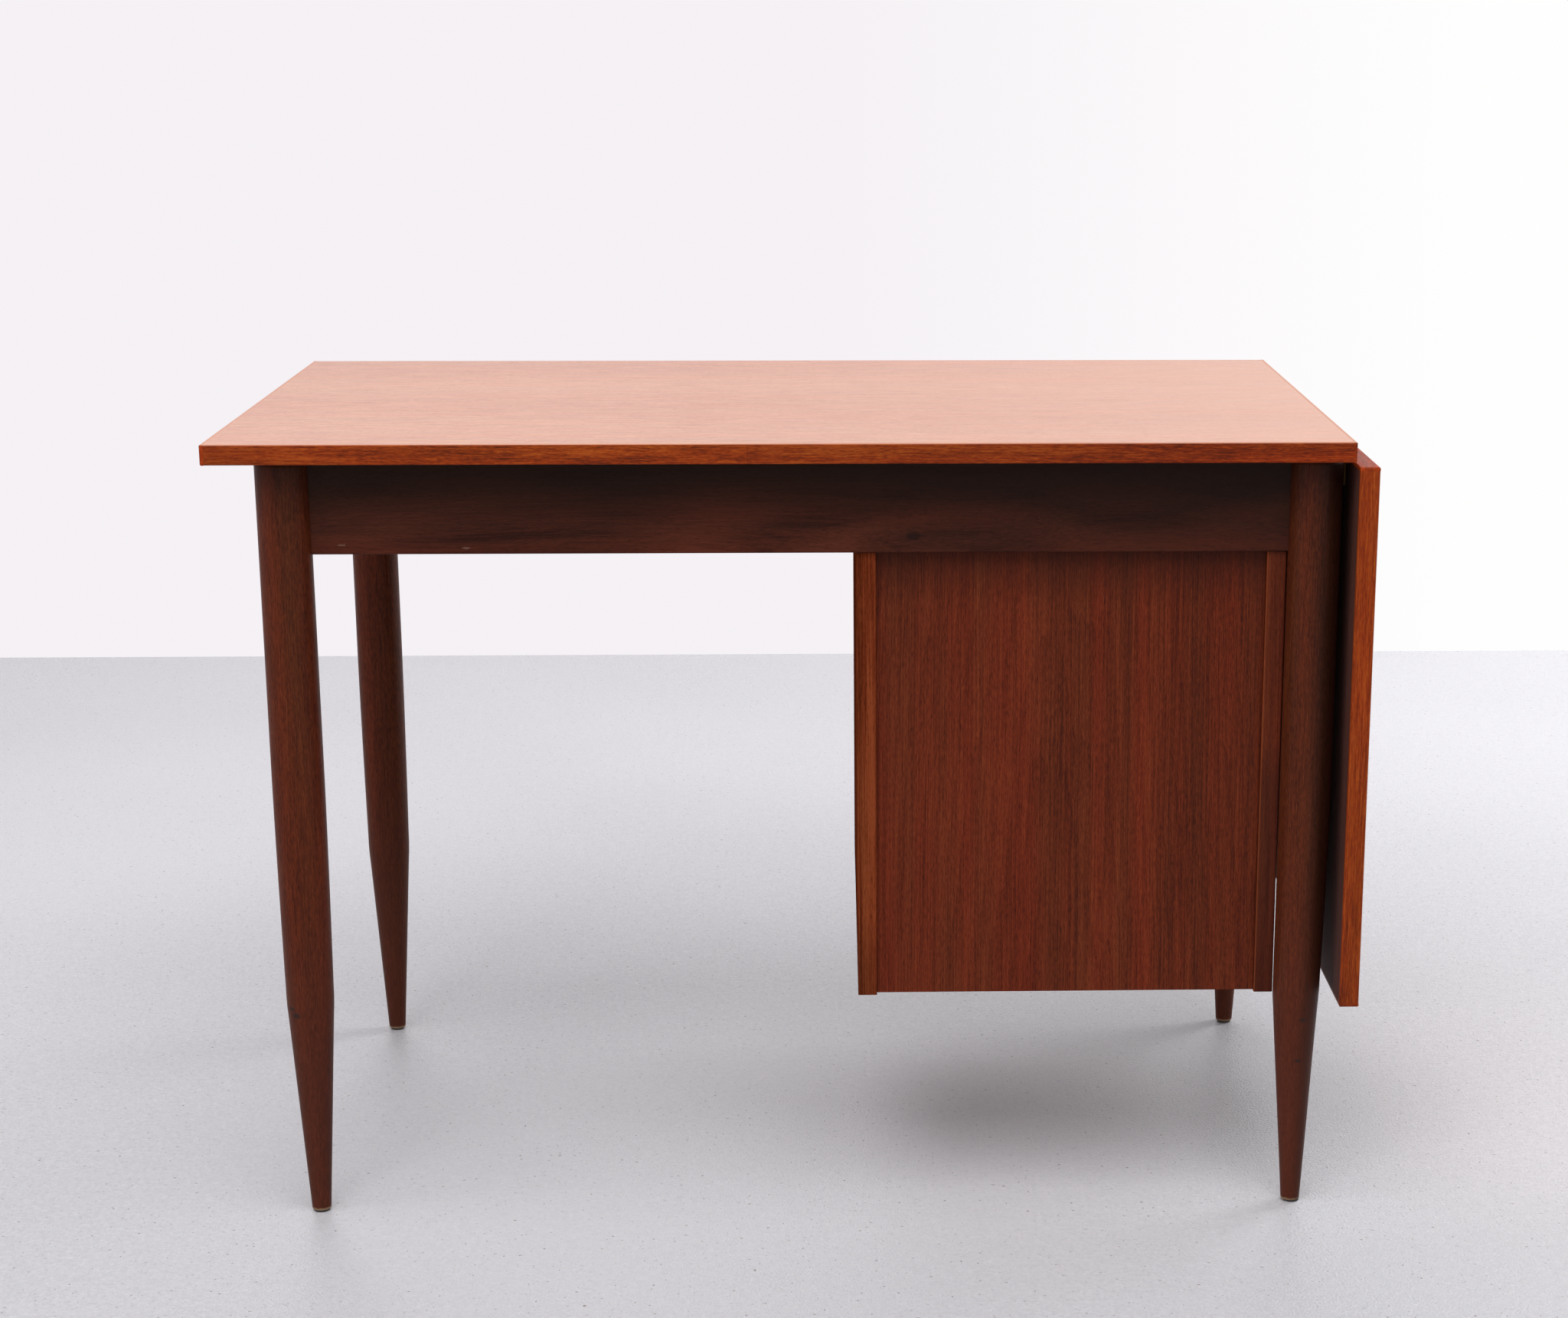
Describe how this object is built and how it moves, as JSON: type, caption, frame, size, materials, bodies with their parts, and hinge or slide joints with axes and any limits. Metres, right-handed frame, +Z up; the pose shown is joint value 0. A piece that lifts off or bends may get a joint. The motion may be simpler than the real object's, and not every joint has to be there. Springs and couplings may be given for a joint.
{
  "type": "writing desk with drawers",
  "caption": "Free-standing teak writing desk on turned legs, with a hanging pedestal of sliding drawers and a hinged drop leaf held up by folding stays.",
  "frame": {"origin": "on the floor below the middle of the desk's box with the leaf hanging", "axes": "+X to the sitter's right, +Y away from the sitter to the desk's back, +Z up; the drawers open towards -Y and the leaf hangs at the -X end"},
  "size_m": [1.029, 0.6, 0.73],
  "materials": {
    "teak_top": "satin oiled teak veneer",
    "teak_leaf": "satin oiled teak veneer",
    "teak_lipping": "satin oiled solid teak",
    "teak_leg": "satin oiled solid teak",
    "teak_apron": "satin oiled teak",
    "teak_case": "satin oiled teak veneer",
    "teak_drawer": "satin oiled teak",
    "teak_pull": "satin oiled solid teak, carved",
    "beech": "bare planed beech",
    "drawer_beech": "waxed beech",
    "ply": "bare plywood",
    "brass": "brushed and lacquered",
    "steel": "bright zinc",
    "glide_black": "matt"
  },
  "bodies": {
    "frame": {"top_panel": "teak_top", "top_lipping_left": "teak_lipping", "top_lipping_right": "teak_lipping", "top_lipping_front": "teak_lipping", "top_lipping_back": "teak_lipping", "leg_front_left": "teak_leg", "leg_front_right": "teak_leg", "leg_back_left": "teak_leg", "leg_back_right": "teak_leg", "foot_glides": "glide_black", "apron_front": "teak_apron", "apron_back": "teak_apron", "apron_left": "teak_apron", "apron_right": "teak_apron", "corner_blocks": "beech", "top_screws": "steel", "pedestal_left_side": "teak_case", "pedestal_right_side": "teak_case", "pedestal_bottom": "teak_case", "pedestal_top": "teak_case", "pedestal_back": "teak_case", "hanging_rails": "beech", "pedestal_bolts": "steel", "drawer_runners": "beech", "drawer_stops": "beech", "hinge_plates_top": "brass", "hinge_pins": "brass", "hinge_screws_top": "brass", "stay_brackets_apron": "brass"},
    "leaf": {"leaf_panel": "teak_leaf", "leaf_lipping_hinge": "teak_lipping", "leaf_lipping_free": "teak_lipping", "leaf_lipping_front": "teak_lipping", "leaf_lipping_back": "teak_lipping", "hinge_plates_leaf": "brass", "hinge_screws_leaf": "brass", "stay_brackets_leaf": "brass"},
    "top_drawer": {"top_drawer_front": "teak_drawer", "top_drawer_left_side": "drawer_beech", "top_drawer_right_side": "drawer_beech", "top_drawer_rear": "drawer_beech", "top_drawer_bottom": "ply", "top_drawer_pull": "teak_pull"},
    "middle_drawer": {"middle_drawer_front": "teak_drawer", "middle_drawer_left_side": "drawer_beech", "middle_drawer_right_side": "drawer_beech", "middle_drawer_rear": "drawer_beech", "middle_drawer_bottom": "ply", "middle_drawer_pull": "teak_pull"},
    "bottom_drawer": {"bottom_drawer_front": "teak_drawer", "bottom_drawer_left_side": "drawer_beech", "bottom_drawer_right_side": "drawer_beech", "bottom_drawer_rear": "drawer_beech", "bottom_drawer_bottom": "ply", "bottom_drawer_pull": "teak_pull"},
    "front_long_arm": {"stay_long_arm_front": "brass"},
    "back_long_arm": {"stay_long_arm_back": "brass"},
    "front_short_arm": {"stay_short_arm_front": "brass"},
    "back_short_arm": {"stay_short_arm_back": "brass"}
  },
  "joints": [
    {"name": "leaf_hinge", "type": "hinge", "parent": "frame", "child": "leaf", "pos_m": [-0.494, 0, 0.7095], "axis": [0, 1, 0], "range_deg": [0, 90]},
    {"name": "top_drawer_slide", "type": "slide", "parent": "frame", "child": "top_drawer", "axis": [0, -1, 0], "range_m": [0, 0.36]},
    {"name": "middle_drawer_slide", "type": "slide", "parent": "frame", "child": "middle_drawer", "axis": [0, -1, 0], "range_m": [0, 0.36]},
    {"name": "bottom_drawer_slide", "type": "slide", "parent": "frame", "child": "bottom_drawer", "axis": [0, -1, 0], "range_m": [0, 0.36]},
    {"name": "front_long_arm_turn", "type": "hinge", "parent": "frame", "child": "front_long_arm", "pos_m": [-0.48, 0, 0.644], "axis": [0, 1, 0], "range_deg": [0, 105.85]},
    {"name": "front_short_arm_turn", "type": "hinge", "parent": "leaf", "child": "front_short_arm", "pos_m": [-0.4845, 0, 0.5595], "axis": [0, 1, 0], "range_deg": [-164.25, 0]},
    {"name": "back_long_arm_turn", "type": "hinge", "parent": "frame", "child": "back_long_arm", "pos_m": [-0.48, 0, 0.644], "axis": [0, 1, 0], "range_deg": [0, 105.85]},
    {"name": "back_short_arm_turn", "type": "hinge", "parent": "leaf", "child": "back_short_arm", "pos_m": [-0.4845, 0, 0.5595], "axis": [0, 1, 0], "range_deg": [-164.25, 0]}
  ],
  "couplings": [
    {"joint": "front_long_arm_turn", "follows": "leaf_hinge", "ratio": 1.1756},
    {"joint": "front_short_arm_turn", "follows": "leaf_hinge", "ratio": -1.8244},
    {"joint": "back_long_arm_turn", "follows": "leaf_hinge", "ratio": 1.1756},
    {"joint": "back_short_arm_turn", "follows": "leaf_hinge", "ratio": -1.8244}
  ]
}
